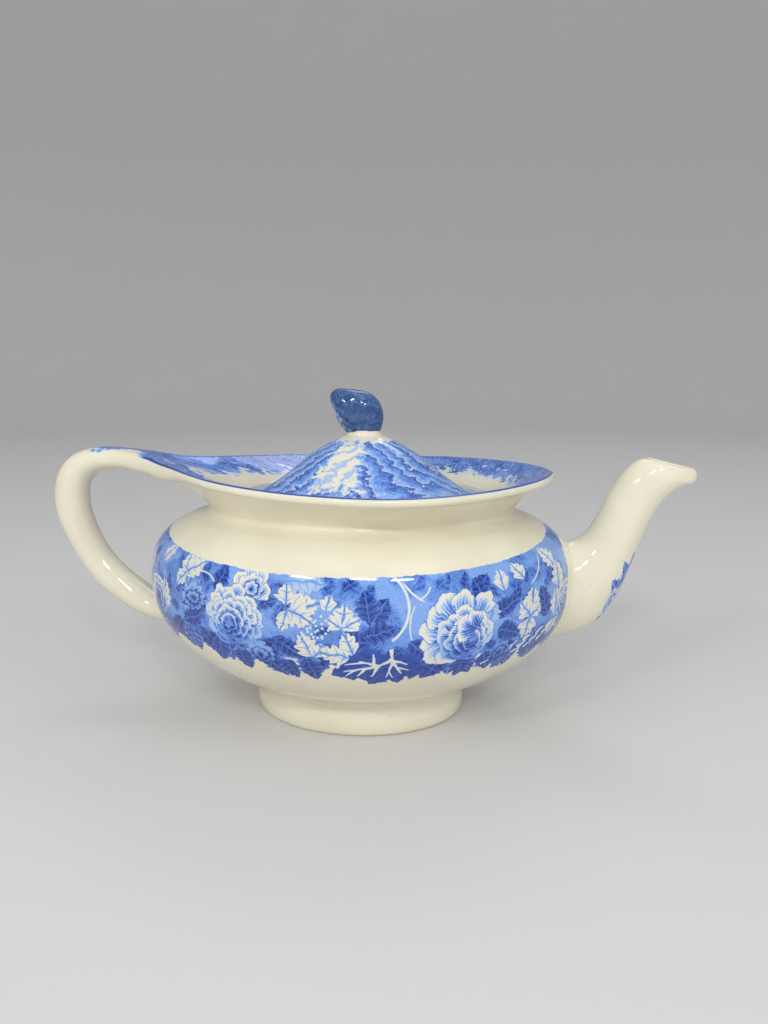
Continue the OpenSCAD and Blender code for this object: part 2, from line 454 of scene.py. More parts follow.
def dots(tone, u, v, at, radius, size):
    """A round cluster of pale dots; a larger size gives smaller dots."""
    x, y = turned_axes(u, v, at, 0.0, radius, radius)
    near = cells(point(u, v), size, "2D")
    spot = scaled(near, -9.0, 2.7, clamp=True)
    kept = scaled(scaled(x, x, y * y), -4.0, 4.0, clamp=True)
    return blend(tone, 0.04, spot * kept)


def leaf_row(tone, u, v, pitch, shift, height, degrees, long, wide, blade, edge):
    """A row of leaves, one to each pitch of u, at slightly different heights."""
    where = scaled(u, 1 / pitch, shift)
    jitter = calc("SINE", calc("FLOOR", where) * 12.9898)
    local = (fraction(where) - 0.5) * pitch
    lifted = scaled(jitter, 2.6, v)
    return dark_leaf(tone, local, lifted, (0.0, height), degrees, long, wide, blade, edge)


@stamp
def leaf_field(tone, u, v, pitch, shift, blade, edge, kept):
    """Scattered leaves, one to each square of a staggered grid, each turned its own way."""
    down = scaled(v, 1.0 / pitch, shift)
    row = calc("FLOOR", down)
    across = scaled(u, 1.0 / pitch, scaled(row, 0.37, shift))
    chance = fraction(calc("SINE", scaled(calc("FLOOR", across), 12.9898, row * 78.233)) * 437.585)
    c = calc("COSINE", chance * math.tau)
    s = calc("SINE", chance * math.tau)
    x = fraction(across) - 0.5
    y = fraction(down) - 0.5
    p = scaled(x, c, scaled(y, s, 0.5))
    q = (y * c - x * s) / 0.32
    drawn = toothed_blade(tone, p, q, scaled(chance, -0.20, blade), edge, 4.0)
    return blend(tone, drawn, kept)


# ------------------------ glaze materials

# Colours of the glaze by tone of the print, from bare to darkest.
CREAM = (0.780, 0.742, 0.590, 1)
BLUES = [
    (0.0, CREAM), (0.14, (0.560, 0.640, 0.770, 1)), (0.34, (0.290, 0.465, 0.810, 1)),
    (0.52, (0.140, 0.300, 0.750, 1)), (0.72, (0.030, 0.088, 0.430, 1)),
    (1.0, (0.006, 0.014, 0.130, 1))]
# The glaze's own uneven tone, and the specks in it.
TINT = [(0.30, (0.90, 0.89, 0.86, 1)), (0.72, (1, 1, 1, 1))]
SPECK = (0.16, 0.12, 0.07, 1)


def ramp(value, stops):
    """Colour that goes through stops of [value, colour]."""
    node = new_node("ValToRGB")
    first, last = node.color_ramp.elements
    first.position, first.color = stops[0]
    last.position, last.color = stops[-1]
    for at, colour in stops[1:-1]:
        node.color_ramp.elements.new(at).color = colour
    feed(node.inputs[0], value)
    return node.outputs[0]


def mixed(kind, a, b, share):
    """One colour over another."""
    node = new_node("Mix")
    node.data_type = "RGBA"
    node.blend_type = kind
    for i, value in ((0, share), (6, a), (7, b)):
        feed(node.inputs[i], value)
    return node.outputs[2]


def glaze(name, print_tone=None, stops=BLUES, rough=0.07, peel=0.10):
    """Glossy glaze over pottery. print_tone gives the tone of the print at each point."""
    material = bpy.data.materials.new(name)
    material.use_nodes = True
    Field.tree = material.node_tree
    shader = Field.tree.nodes["Principled BSDF"].inputs
    where, x, y, z = place()
    tone = clamped(print_tone(where, x, y, z)) if print_tone else 0.0
    colour = mixed("MULTIPLY", ramp(tone, stops), ramp(noise(where, 0.035, 3.0), TINT), 1.0)
    # a few dark specks are fired into it
    specks = scaled(cells(where, 0.11), -22.0, 1.15, clamp=True)
    feed(shader["Base Color"], mixed("MIX", colour, SPECK, specks * 0.55))
    feed(shader["Roughness"], scaled(noise(where, 0.22, 2.0), 0.05, rough - 0.025))
    feed(shader["IOR"], 1.53)
    feed(shader["Coat Weight"], 0.10)
    feed(shader["Coat Roughness"], 0.03)
    bump = new_node("Bump")
    feed(bump.inputs["Strength"], peel)
    feed(bump.inputs["Distance"], 0.9 * MM)
    feed(bump.inputs["Height"], noise(where, 0.075, 2.0) + noise(where, 0.45, 1.0) * 0.10)
    feed(shader["Normal"], bump.outputs[0])
    return material


# The drawing of the band. Places are [along, up] in mm from the front middle of the widest line.
# Leaves are [stalk, direction, length, half width], pale ones with their number of lobes.
HANGING_LEAVES = [
    ((-44, -11), -112, 12, 4.6), ((-36, -13), -82, 11, 4.8), ((-25, -14), -52, 13, 5),
    ((-17, -15), -66, 11, 4.6), ((-8, -14), -75, 12, 5), ((36, -13), -108, 12, 5),
    ((46, -12), -128, 16, 6), ((52, -13), -92, 12, 5.5), ((60, -14), -60, 11, 5)]
DARK_LEAVES = [
    ((-44, 8), 75, 13, 4.2), ((-52, -2), 200, 13, 4.5), ((54, 8), 55, 12, 4), ((62, 2), 20, 12, 4.2),
    ((16, -6), 168, 12, 4.6), ((16, 0), 60, 13, 5), ((16, 2), 100, 12, 4.6), ((30, -6), -40, 12, 4.4),
    ((14, -4), 20, 12, 4.6), ((-20, -6), -30, 13, 4.5), ((-88, -6), 60, 14, 4.5),
    ((90, -4), 110, 14, 4.5), ((58, 6), 110, 11, 4.4), ((64, -4), -20, 12, 4.6)]
PALE_LEAVES = [
    ((-62, 13), 32, 12, 4.4, 4), ((-62, 13), 95, 9.5, 3.6, 3), ((-61, 14), 228, 9, 3.4, 3),
    ((-81, 14), 60, 12, 3.4, 4), ((-77, -5), 85, 14, 4.8, 5), ((-13, 6), 12, 11.5, 5, 3),
    ((-14, 6), -28, 11.5, 5.2, 3), ((-14, 7), 95, 8.5, 4.4, 3), ((-14, 5), 250, 9, 3, 3),
    ((0.5, 5.5), 80, 6, 3.2, 2), ((6, -1), 84, 10, 4.6, 3), ((6, -0.5), 28, 8, 3.4, 2),
    ((6, -0.5), 150, 6.5, 3.2, 2), ((-5, -13), 115, 11.5, 4.6, 4), ((-5, -13), 60, 7, 3.2, 2),
    ((9, -12), 172, 13, 4.6, 4), ((10, -11), 110, 10, 3.8, 3), ((77, 13), 122, 8, 3.6, 3),
    ((67, 10), 100, 8.5, 3.4, 3), ((79, -2), 78, 12, 4.8, 4), ((79, -2), 125, 9, 4, 3),
    ((79, -2), 262, 9.5, 4.8, 3), ((79, -2), 30, 8, 3.4, 3), ((98, 14), 120, 11, 4.4, 4),
    ((98, 5), 82, 12, 5, 4), ((97, -6), 96, 13, 5, 4), ((97, -6), 250, 9, 3.8, 3),
    ((115, 8), 80, 12, 4.6, 4), ((-97, 6), 95, 13, 4.8, 4), ((-99, -8), 70, 13, 4.8, 4),
    ((-112, 2), 110, 12, 4.6, 4)]
# The pale veins of the large leaf are [start, end, width], the width in VEIN_WIDTH.
VEIN_WIDTH = 0.85
BRANCHES = [
    ((23.5, -8.5), (24.5, -13.5), 1.1), ((24.5, -12.8), (18.5, -17), 1.2),
    ((20, -16.2), (6, -19.5), 1.1), ((19.5, -16.2), (12, -13.8), 1.0),
    ((14, -14.5), (6.5, -15.5), 0.8), ((17.5, -15.5), (17.2, -10.5), 0.9),
    ((14.5, -17.6), (11, -22), 0.9), ((19.4, -16.6), (16.5, -22), 1.0), ((10, -18.6), (6.5, -22), 0.7),
    ((24, -13.4), (30, -15.5), 1.0), ((24.2, -13.6), (28.5, -20.5), 1.1),
    ((26.6, -17.5), (31, -18.5), 0.8), ((24.4, -14.5), (22.5, -22.5), 1.0),
    ((23.2, -19), (25.5, -23), 0.7)]
# Stems are parts of circles: [middle, radius, first and last direction, width].
STEMS = [
    ((14.5, 7), 15.2, -54, 50, 1.15), ((44, 25), 18.3, 207, 244, 0.95),
    ((31.5, 16), 6.5, -75, -15, 0.7), ((46, 0), 16, 150, 200, 0.6), ((70, 30), 22, 295, 335, 0.7),
    ((-52, 6), 9, 40, 150, 0.7)]
ROSE_PETALS = [
    ((46, -4), 200, 13, 5), ((46, -6), 226, 13, 5), ((47, -6), 250, 12, 5), ((46, -3), 172, 13, 5),
    ((47, -2), 146, 13, 5), ((48, 0), 118, 13, 5), ((50, 0), 92, 12.5, 4.6), ((53, 0), 52, 13, 4.4)]
ROSE_HEART = [
    ((55, -3), 190, 8, 3.4), ((55, -3), 150, 8.5, 3.6), ((56, -3), 110, 8, 3.4)]
BAND_TOP = 17.8  # the band's upper edge above the belly line, at the front middle
BAND_RISE = 7.5  # how much higher it is at the ends of the pot
BAND_HALF = 105.0  # from the front middle to an end, along the wall


def band_print(where, x, y, z):
    """The floral band round the bowl; the front half and the back half carry the same drawing."""
    across = calc("ARCTAN2", y / OVAL, x)
    turn = scaled(fraction(scaled(across, 1 / math.pi, 1.0)), math.pi, -math.pi / 2)
    mean = BELLY * (1 + OVAL) / 2
    sway = BELLY * (1 - OVAL) / 4
    true_u = scaled(turn, mean, calc("SINE", turn * 2) * sway)
    true_v = attribute("band_height")
    flat = point(true_u, true_v)
    # the drawing wanders a little, as an engraved one does
    u = scaled(noise(flat, 0.21, 2.0), 3.2, true_u - 1.6)
    v = scaled(noise(point(true_v, true_u), 0.21, 2.0), 3.2, true_v - 1.6)
    stipple = noise(flat, 1.3, 2.0, 0.6)
    drift = noise(flat, 0.07, 3.0, 0.5)
    tone = scaled(stipple, 0.34, 0.27)
    low = scaled(v, -0.10, -0.20, clamp=True)
    crowd = calc("MAXIMUM", scaled(drift, 9.0, -4.1, clamp=True), low)
    tone = blend(tone, scaled(stipple, 0.40, 0.42), crowd * 0.8)
    tone = leaf_field(tone, u, v, 10.5, 0.20, 0.82, 0.50, crowd)
    tone = leaf_field(tone, u, v, 8.5, 0.65, 0.98, 0.54, crowd)
    # the print ends below in dark toothed leaves
    tone = tone * calc("ADD", scaled(drift, 6.0, 11.5), v, clamp=True)
    tone = leaf_row(tone, u, v, 15.0, 0.15, -9.5, -58, 14.5, 4.8, 0.95, 0.56)
    tone = leaf_row(tone, u, v, 18.5, 0.60, -9.0, -104, 14.0, 5.0, 0.86, 0.50)
    tone = leaf_row(tone, u, v, 23.0, 0.30, -8.5, -140, 15.0, 4.8, 1.0, 0.60)
    tone = leaf_row(tone, u, v, 27.0, 0.80, -9.5, -82, 12.5, 4.4, 0.90, 0.46)
    for at, turn_by, long, wide in HANGING_LEAVES:
        tone = dark_leaf(tone, u, v, at, turn_by, long, wide, 0.94, 0.60)
    # dark leaves among the flowers
    for at, turn_by, long, wide in DARK_LEAVES:
        tone = dark_leaf(tone, u, v, at, turn_by, long, wide)
    # a large dark leaf with pale branching veins, bottom middle
    for turn_by, long, wide in ((200, 25, 8.5), (240, 17, 8.0), (285, 14, 7.5), (325, 15, 6.5)):
        tone = dark_leaf(tone, u, v, (24, -13), turn_by, long, wide, 0.86, 0.70, 4.0)
    half_u, half_v = blend(true_u, u, 0.5), blend(true_v, v, 0.5)
    for start, end, width in BRANCHES:
        tone = stroke(tone, half_u, half_v, start, end, width * VEIN_WIDTH)
    for k in range(20):
        start = (61 + 2.2 * k, -20.0 + 0.45 * k + 2.2 * (k % 3))
        tone = stroke(tone, u, v, start, (start[0] + 3.6, start[1] + 2.2), 0.95)
    # pale leaves
    for at, turn_by, long, wide, lobes in PALE_LEAVES:
        tone = pale_leaf(tone, u, v, at, turn_by, long, wide, lobes)
    tone = pale_leaf(tone, u, v, (-15, 16), -2, 15.5, 4.6, 5, 0.24, 0.50)
    tone = pale_leaf(tone, u, v, (60, -2), 80, 10, 4.0, 4, 0.28, 0.55)
    # pale stems
    for middle, radius, start, end, width in STEMS:
        tone = stem(tone, true_u, true_v, middle, radius, start, end, width)
    # flowers
    for turn_by, long in ((10, 9), (60, 11), (95, 11), (135, 10)):
        tone = petal(tone, u, v, (-29, 10), turn_by, long, 3.6, 0.75)
    tone = flower(tone, u, v, (-28.5, 11.5), 5.6, 7, 2.1, 40, 1.0, shadow=0.2)
    tone = flower(tone, u, v, (-56, 4), 8.0, 9, 2.4, 10, 0.8, dark=0.95, pale=0.34)
    tone = bloom(tone, u, v, (-36.5, -1.5), 13.2, (15, 13, 11, 9, 6), (-2.0, -1.5))
    tone = flower(tone, u, v, (-26.5, -14), 6.8, 9, 2.3, 0, 0.8, dark=1.0, pale=0.40, shadow=0.6)
    for at, turn_by, long, wide in ROSE_PETALS:
        tone = petal(tone, u, v, at, turn_by, long, wide, 0.70, 0.02)
    tone = bloom(tone, u, v, (51, -6), 11.5, (12, 11, 9, 7), (3.5, -2.0))
    for at, turn_by, long, wide in ROSE_HEART:
        tone = petal(tone, u, v, at, turn_by, long, wide, 0.80, 0.02)
    tone = flower(tone, u, v, (67.5, -15.5), 5.0, 6, 1.9, 0, 1.0, dark=1.0, pale=0.50)
    for at, radius in (((-84, -1), 8.5), ((106, -2), 9.0), ((-122, -4), 9.0)):
        tone = bloom(tone, u, v, at, radius, (9, 7, 5))
    tone = dots(tone, true_u, true_v, (-4.5, -1.0), 6.5, 0.50)
    # smooth upper edge, a little higher towards the ends of the pot
    ends = scaled(true_u * true_u, BAND_RISE / BAND_HALF ** 2, BAND_TOP)
    top = ends + scaled(noise(flat, 0.35, 3.0), 1.6, -0.8)
    return tone * calc("MULTIPLY", top - true_v, 5.0, clamp=True)


def rim_tone(where, x, y, z):
    """Border on the dish: foliage with a ragged inner edge, pale leaves, and a dark edge line."""
    inward = attribute("edge_distance")
    round_it = calc("ARCTAN2", y / OVAL, x - LID_X)
    drawn = point(scaled(round_it, 66.0, inward * 0.8), inward)
    clump = noise(drawn, 0.11, 3.0, 0.55)
    fine = noise(drawn, 0.75, 3.0, 0.65)
    tone = scaled(clump, 1.10, scaled(fine, 0.60, -0.22))
    tone = leaf_field(tone, scaled(round_it, 66.0, 0.0), inward, 8.0, 0.3, 0.92, 0.42, 0.85)
    pale = scaled(noise(drawn, 0.22, 3.0, 0.65), 13.0, scaled(inward, 0.22, -9.2), clamp=True)
    tone = blend(tone, 0.08, pale)
    saw = fraction(scaled(round_it, 70 / math.tau, inward * 0.10))
    reach = scaled(clump, 13.0, scaled(fine, 3.0, scaled(saw, 2.8, 7.0)))
    tone = calc("MULTIPLY", tone, scaled(reach - inward, 1.8, 0.0, clamp=True), clamp=True)
    tone = tone * scaled(inward, 3.0, 2.2, clamp=True)
    line = scaled(calc("ABSOLUTE", inward + 0.85), -3.0, 1.5, clamp=True)
    tone = blend(tone, 0.90, line * scaled(x, 0.20, 19.5, clamp=True))
    # on the handle it keeps to the back half and breaks up
    torn = noise(where, 0.10, 3.0, 0.6) * 12.0
    kept = calc("MINIMUM", scaled(y, 0.7, torn - 3.2), scaled(x, 0.5, 56.0 + torn * 0.7), clamp=True)
    return tone * blend(1.0, kept, scaled(x, -0.20, -18.6, clamp=True))


def lid_tone(where, x, y, z):
    """Overlapping toothed leaves that fan out down the dome from the front, with bare patches."""
    cx = x - LID_X
    cy = y / OVAL
    away = calc("SQRT", scaled(cx, cx, cy * cy))
    angle = calc("ARCTAN2", cx, -cy)
    wander = noise(where, 0.055, 3.0, 0.5)
    ragged = noise(where, 0.42, 4.0, 0.68)
    scallop = calc("ABSOLUTE", calc("SINE", scaled(away, 0.80, wander * 16.0)))
    curl = scaled(away, -0.090, scaled(wander, 3.8, scallop * 0.22))
    fan = scaled(calc("ABSOLUTE", angle), 2.8, curl)
    steps = scaled(ragged, 0.90, fan)
    step = fraction(steps)
    stipple = noise(where, 1.2, 2.0, 0.6)
    tone = scaled(step, 0.46, scaled(stipple, 0.44, 0.06))
    vein = calc("ABSOLUTE", fraction(scaled(fan, 2.0, away * 0.30)) - 0.5)
    tone = blend(tone, 0.78, scaled(vein, -9.0, 0.9, clamp=True) * 0.5)
    tone = blend(tone, 0.12, scaled(step, -12.0, 1.2, clamp=True) * 0.8)
    # bare glaze left of the front middle, with pale blue strips, and round the knob's collar
    left = scaled(calc("ABSOLUTE", scaled(angle, 2.7, 0.62)), -6.0, 6.0)
    deep = scaled(calc("ABSOLUTE", scaled(away, 1.0, -25.0)), -0.42, 6.4)
    torn = scaled(ragged, 14.0, -7.6)
    bare = calc("ADD", calc("MINIMUM", left, deep), torn, clamp=True)
    strips = scaled(step, 9.0, -5.4, clamp=True) * scaled(stipple, 0.3, 0.12)
    tone = blend(tone, strips, bare)
    tone = blend(tone, 0.03, scaled(away, -0.9, scaled(ragged, 13.0, 5.5), clamp=True))
    line = scaled(away, 1.6, -1.6 * (LID_EDGE - 2.0), clamp=True)
    return blend(tone, 0.80, line * 0.8)


SPRIG_MIDDLE = 24.0  # place of the spout's flower, along the spout from the bowl
# [stalk ahead of the flower, direction, length, half width]
SPRIG_LEAVES = [
    (2, 90, 16, 5), (2, -90, 16, 5), (-3, 115, 11, 4.6), (-3, -115, 11, 4.6), (4, 62, 14, 4.6),
    (4, -62, 14, 4.6), (6, 35, 12, 4), (6, -35, 12, 4), (7, 0, 12, 4)]


def sprig_tone(where, x, y, z):
    """A flower between two smaller ones, with leaves, on the outside of the spout's bend."""
    u = attribute("along_spout")
    v = attribute("round_spout")
    tone = 0.0
    for ahead, turn_by, long, wide in SPRIG_LEAVES:
        stalk = (SPRIG_MIDDLE + ahead, 0)
        tone = dark_leaf(tone, u, v, stalk, turn_by, long, wide, 0.80, 0.36, 4.0)
    for side in (-8.5, 8.5):
        at = (SPRIG_MIDDLE - 2, side)
        tone = flower(tone, u, v, at, 5.4, 6, 2.1, dark=0.85, pale=0.02, shadow=0.0)
    return flower(tone, u, v, (SPRIG_MIDDLE, 0), 7.6, 8, 2.3, dark=0.85, pale=0.06, shadow=0.0)


def knob_tone(where, x, y, z):
    """Mottled blue, with pale painted highlight streaks on the upper side that faces the handle."""
    streak = noise(where, 0.22, 4.0, 0.6, 1.5)
    fine = noise(where, 1.0, 3.0, 0.7)
    tone = scaled(streak, 0.85, 0.30) + scaled(fine, 0.60, -0.30)
    # painted highlight: pale on the side towards the handle, broken into streaks by noise
    pale = scaled(x, -0.30, scaled(z, -0.20, 24.4), clamp=True)
    highlight_streaks = scaled(noise(where, 0.45, 3.0, 0.7), 9.0, -4.2, clamp=True)
    return blend(tone, 0.12, pale * highlight_streaks)


# Colours of the knob's glaze by tone; the pale end is the colour of the painted highlight streaks.
KNOB_BLUES = [
    (0.0, (0.56, 0.62, 0.66, 1)), (0.3, (0.21, 0.32, 0.50, 1)), (0.6, (0.065, 0.140, 0.320, 1)),
    (0.8, (0.028, 0.070, 0.200, 1)), (1.0, (0.010, 0.028, 0.110, 1))]


plain_glaze = glaze("cream_glaze")
band_glaze = glaze("band_print_glaze", band_print)
rim_glaze = glaze("rim_print_glaze", rim_tone)
lid_glaze = glaze("lid_print_glaze", lid_tone)
spout_glaze = glaze("spout_sprig_glaze", sprig_tone)
knob_glaze = glaze("knob_mottled_painted_highlight_glaze", knob_tone, KNOB_BLUES, peel=0.22)


# ------------------------ rim, strap and loop handle

WING_X = -90.0  # where the wing of the rim hands over to the strap
WING_WIDTH = 12.4
WING_TOP, WING_UNDER = 111.0, 102.9
END_STEPS = 12  # columns across the end of the wing
LIP_STEPS = 8  # steps round the lip, top to underside
FLAT = 0.7  # share of the strap's width that is flat where it starts
WAIST, WAIST_Z, WAIST_X = 65.5, 91.5, 1.0  # half length, height and middle of the collar's waist
MOUTH = LID_EDGE - 6.0  # half length of the mouth
HOLE = LID_EDGE + 1.0  # and of the hole in the dish that the lid drops into
BOWL_TOP = 88.5
LIP_DEEP, LIP_TALL = 2.0, 3.5  # the rounded lip of the rim
PRINTED = 0.28  # share of the strap, from the rim, that may carry print
UNPRINTED = -5.5  # edge_distance of the glaze that carries none

# Plan of the rim's edge, [x, half width], from the spout end to the wing.
right = RIM_RIGHT + 0.4
rim_plan = [
    (right, 0), (right - 3.4, 16), (right - 11.5, 32), (57, 48.5), (38, 61), (18, 65.3), (-4, 63.4),
    (-26, 57.6), (-46, 48), (-64, 33.6), (-78, 20.4), (WING_X, WING_WIDTH)]
# Height of the rim's edge along X: it climbs a little to the spout end and more to the handle.
rim_heights = [
    (WING_X, WING_TOP), (-80, 109.0), (-60, 107.3), (-40, 106.4), (-20, 105.6), (0, 105.2),
    (20, 105.1), (40, 105.5), (60, 106.1), (right, 107.2)]

# the line round the rim's edge, evenly spaced, and the height of each point on it
half_plan = smooth([(x, -w) for x, w in rim_plan[::-1]], 12)
half_plan[:, 1] = np.minimum(half_plan[:, 1], 0)
around = np.concatenate([half_plan, (half_plan[::-1] * [1, -1])[1:]])
around = spaced(around, COLUMNS - END_STEPS + 1)

heights = smooth(rim_heights, 10)
edge_z = np.interp(around[:, 0], heights[:, 0], heights[:, 1])
step = np.gradient(around, axis=0)
outward = np.stack([step[:, 1], -step[:, 0]], 1)
outward /= np.linalg.norm(outward, axis=1)[:, None]
# near the wing's end the lip's sections turn to lie square across the strap
wing_share = np.clip((-62 - around[:, 0]) / 26, 0, 1)[:, None]
wing_share = wing_share ** 2 * (3 - 2 * wing_share)
sideways = np.stack([np.zeros(len(around)), np.sign(around[:, 1])], 1)
outward = outward * (1 - wing_share) + sideways * wing_share
outward /= np.linalg.norm(outward, axis=1)[:, None]
lip_deep = (LIP_DEEP + (WING_WIDTH * (1 - FLAT) - LIP_DEEP) * wing_share)[:, 0]
lip_tall = (LIP_TALL + (WING_TOP - WING_UNDER - LIP_TALL) * wing_share)[:, 0]

top_edge = np.column_stack([around - outward * lip_deep[:, None], edge_z])
lip = []
for k in range(LIP_STEPS + 1):
    a = math.pi * k / LIP_STEPS
    flat = around - outward * (lip_deep * (1 - math.sin(a)))[:, None]
    lip.append(np.column_stack([flat, edge_z - lip_tall * (1 - math.cos(a)) / 2]))
end_line = np.linspace(FLAT * WING_WIDTH, -FLAT * WING_WIDTH, END_STEPS + 1)
end_y = end_line[1:-1]
end_top = np.column_stack([np.full_like(end_y, WING_X), end_y, np.full_like(end_y, WING_TOP)])
end_under = end_top - [0, 0, WING_TOP - WING_UNDER]
top_line = np.concatenate([top_edge, end_top])
under_line = np.concatenate([lip[-1], end_under])
round_angle = np.arctan2(top_line[:, 1] / OVAL, top_line[:, 0] - LID_X)

# [half length, height] from the bowl's top up the mouth, over the seat and up to the dish
seat_profile = [
    (MOUTH, BOWL_TOP), (MOUTH, SEAT_Z - 0.6), (MOUTH + 0.6, SEAT_Z), (HOLE - 0.2, SEAT_Z),
    (HOLE, SEAT_Z + 2.7), (HOLE + 0.7, SEAT_Z + 3.5)]
seat_rows = turned(seat_profile, round_angle, LID_X)
hole_round = seat_rows[-1]
DISH_STEPS = 26
dish, dish_edge = [], []
for k in range(DISH_STEPS + 1):
    s = k / DISH_STEPS
    row = hole_round + (top_line - hole_round) * s
    row[:, 2] = hole_round[:, 2] + (top_line[:, 2] - hole_round[:, 2]) * s ** 1.2
    dish.append(row)
    # distance to the nearest point of the rim's edge, for the print
    gap = np.linalg.norm(row[:, None, :2] - top_edge[None, :, :2], axis=2).min(1)
    dish_edge.append(gap)

# the underside curves down from the lip to the collar's waist
waist = oval_ring(WAIST, WAIST_Z, WAIST_X, round_angle)
UNDER_STEPS = 18
under = []
fall = under_line[:, 2] - WAIST_Z
for k in range(UNDER_STEPS + 1):
    t = k / UNDER_STEPS
    b = [(1 - t) ** 3, 3 * t * (1 - t) ** 2, 3 * t * t * (1 - t), t ** 3]
    flat = waist[:, :2] + (under_line[:, :2] - waist[:, :2]) * (b[0] + 0.56 * b[1])
    height = WAIST_Z + b[0] * fall + b[1] * fall * 0.66 + b[2] * 1.7
    under.append(np.column_stack([flat, height]))

open_lip = np.array(lip)
lip_marks = np.linspace(0, UNPRINTED, LIP_STEPS + 1)[:, None]


def strap_ring(station):
    """A cross-section of the strap: [outer x, outer z, inner x, inner z, half width, roundness]."""
    ox, oz, ix, iz, width, roundness = station
    flat_y, flat_t, round_a = [], [], []
    for side, first in ((1, 45), (-1, 225)):
        for k in range(END_STEPS + 1):
            flat_y.append(side * (FLAT - 2 * FLAT * k / END_STEPS))
            flat_t.append(side)
            round_a.append(first + 90 * k / END_STEPS)
        for k in range(1, LIP_STEPS):
            a = math.pi * k / LIP_STEPS
            flat_y.append(-side * (FLAT + (1 - FLAT) * math.sin(a)))
            flat_t.append(side * math.cos(a))
            round_a.append(first + 90 + 90 * k / LIP_STEPS)
    flat_y, flat_t, round_a = np.array(flat_y), np.array(flat_t), np.radians(round_a)
    across = flat_y * (1 - roundness) + np.cos(round_a) * roundness
    outer = flat_t * (1 - roundness) + np.sin(round_a) * roundness
    middle = np.array([(ox + ix) / 2, 0, (oz + iz) / 2])
    half = np.array([(ox - ix) / 2, 0, (oz - iz) / 2])
    return middle + outer[:, None] * half + across[:, None] * width * np.array([0, 1, 0])


# [outer x, outer z, inner x, inner z, half width, roundness]
strap_path = [
    (WING_X, WING_TOP, WING_X, WING_UNDER, WING_WIDTH, 0), (-96.5, 112.7, -96, 103.7, 9.9, 0.3),
    (-105, 114.1, -103.6, 104.3, 8.4, 0.8), (-115.9, 114.5, -112, 104.2, 7.6, 1),
    (-125.4, 112.9, -118.5, 102.9, 7.3, 1), (-132.8, 109.2, -122.4, 100.3, 7.2, 1),
    (-138.0, 102.8, -124.6, 96.4, 7.1, 1), (-140.6, 94, -125.1, 91.8, 7, 1),
    (-140.3, 84.2, -124.6, 85.2, 7, 1), (-136.9, 74.0, -122, 76.6, 7, 1),
    (-130.0, 60.8, -116.6, 66.2, 7, 1), (-120.4, 49.2, -108.9, 58.0, 7.1, 1),
    (-108.6, 40.6, -101.3, 51.9, 7.5, 1), (-97.5, 35.9, -95.6, 48.2, 8.2, 1),
    (-87, 33.4, -91.0, 47.6, 9.4, 1)]
strap = smooth(strap_path, 8)
strap[:, 5] = np.clip(strap[:, 5], 0, 1)
strap_rows = np.array([strap_ring(s) for s in strap])
root = strap_rows[-1].copy()
root[:, 0] = -(wall_x(root[:, 1], root[:, 2]) - 0.8)
strap_rows = np.concatenate([strap_rows, [root]])
# print marks round a section: its flat top, one lip down, the underside, the other lip up
top_marks = FLAT * WING_WIDTH - np.abs(end_line)
down_marks = np.linspace(0, UNPRINTED, LIP_STEPS + 1)[1:-1]
under_marks = np.full(END_STEPS + 1, UNPRINTED)
ring_marks = np.concatenate([top_marks, down_marks, under_marks, down_marks[::-1]])
# the print on the strap dies out where the loop turns down
strap_walk = np.linspace(0, 1, len(strap_rows))[:, None]
strap_marks = np.where(strap_walk > PRINTED, UNPRINTED, ring_marks)

build("rim_and_handle", [
    (seat_rows, True, {"edge_distance": 40.0}),
    (np.array(dish), True, {"edge_distance": np.array(dish_edge)}),
    (open_lip, False, {"edge_distance": lip_marks}),
    (np.array(under), True, {"edge_distance": UNPRINTED}),
    (strap_rows, True, {"edge_distance": strap_marks}),
], "pot", ["rim", "collar", "handle"], rim_glaze)


# ------------------------ bowl and foot ring

OFF_BAND = 90.0  # a band_height that carries no print
NECK_Z = 87.6  # where the neck's curve meets the bowl's
BASE_Z = 14.2  # where the bowl goes into the foot
FLOOR_Z = BELLY_Z - BELLY_DROP + WALL  # the bowl's floor, inside


def outer_profile():
    """Half lengths and heights down the outside, from the waist to the foot."""
    neck = smooth([(WAIST, WAIST_Z), (65.8, 90.6), (67.0, 89.5), (69.4, 88.6), (72.6, NECK_Z)], 4)[:-1]
    z = np.concatenate([np.linspace(NECK_Z, 70, 22), np.linspace(69, BASE_Z, 46)])
    side = np.column_stack([bowl_at(z), z])
    return np.concatenate([neck, side])


outer = outer_profile()
middle = np.clip((outer[:, 1] - NECK_Z) / (WAIST_Z - NECK_Z), 0, 1) * WAIST_X
outer = np.column_stack([outer, middle])
# height for the print is measured along the wall, from the belly line
walk = np.linalg.norm(np.diff(outer[:, :2] * [(1 + OVAL) / 2, 1], axis=0), axis=1)
height = -np.concatenate([[0], np.cumsum(walk)])
height -= np.interp(-BELLY_Z, -outer[:, 1], height)
base_z = np.linspace(BASE_Z, BELLY_Z - BELLY_DROP + 0.02, 14)[1:]
base = np.column_stack([bowl_at(base_z), base_z, np.zeros_like(base_z)])
inner_z = np.concatenate([np.linspace(BOWL_TOP - 0.1, 75, 12), np.linspace(73, FLOOR_Z + 0.7, 34),
                          [FLOOR_Z + 0.2, FLOOR_Z + 0.02]])
inner = np.column_stack([bowl_at(inner_z, WALL), inner_z, np.zeros_like(inner_z)])
inner = np.concatenate([[[MOUTH, BOWL_TOP, LID_X]], inner])
build("bowl_body", [
    (turned(outer, round_angle), True, {"band_height": height[:, None]}),
    (turned(np.concatenate([outer[-1:], base]), round_angle), True, {"band_height": -OFF_BAND}),
    (turned(inner, round_angle), True, {"band_height": OFF_BAND}),
], "pot", ["bowl"], band_glaze)

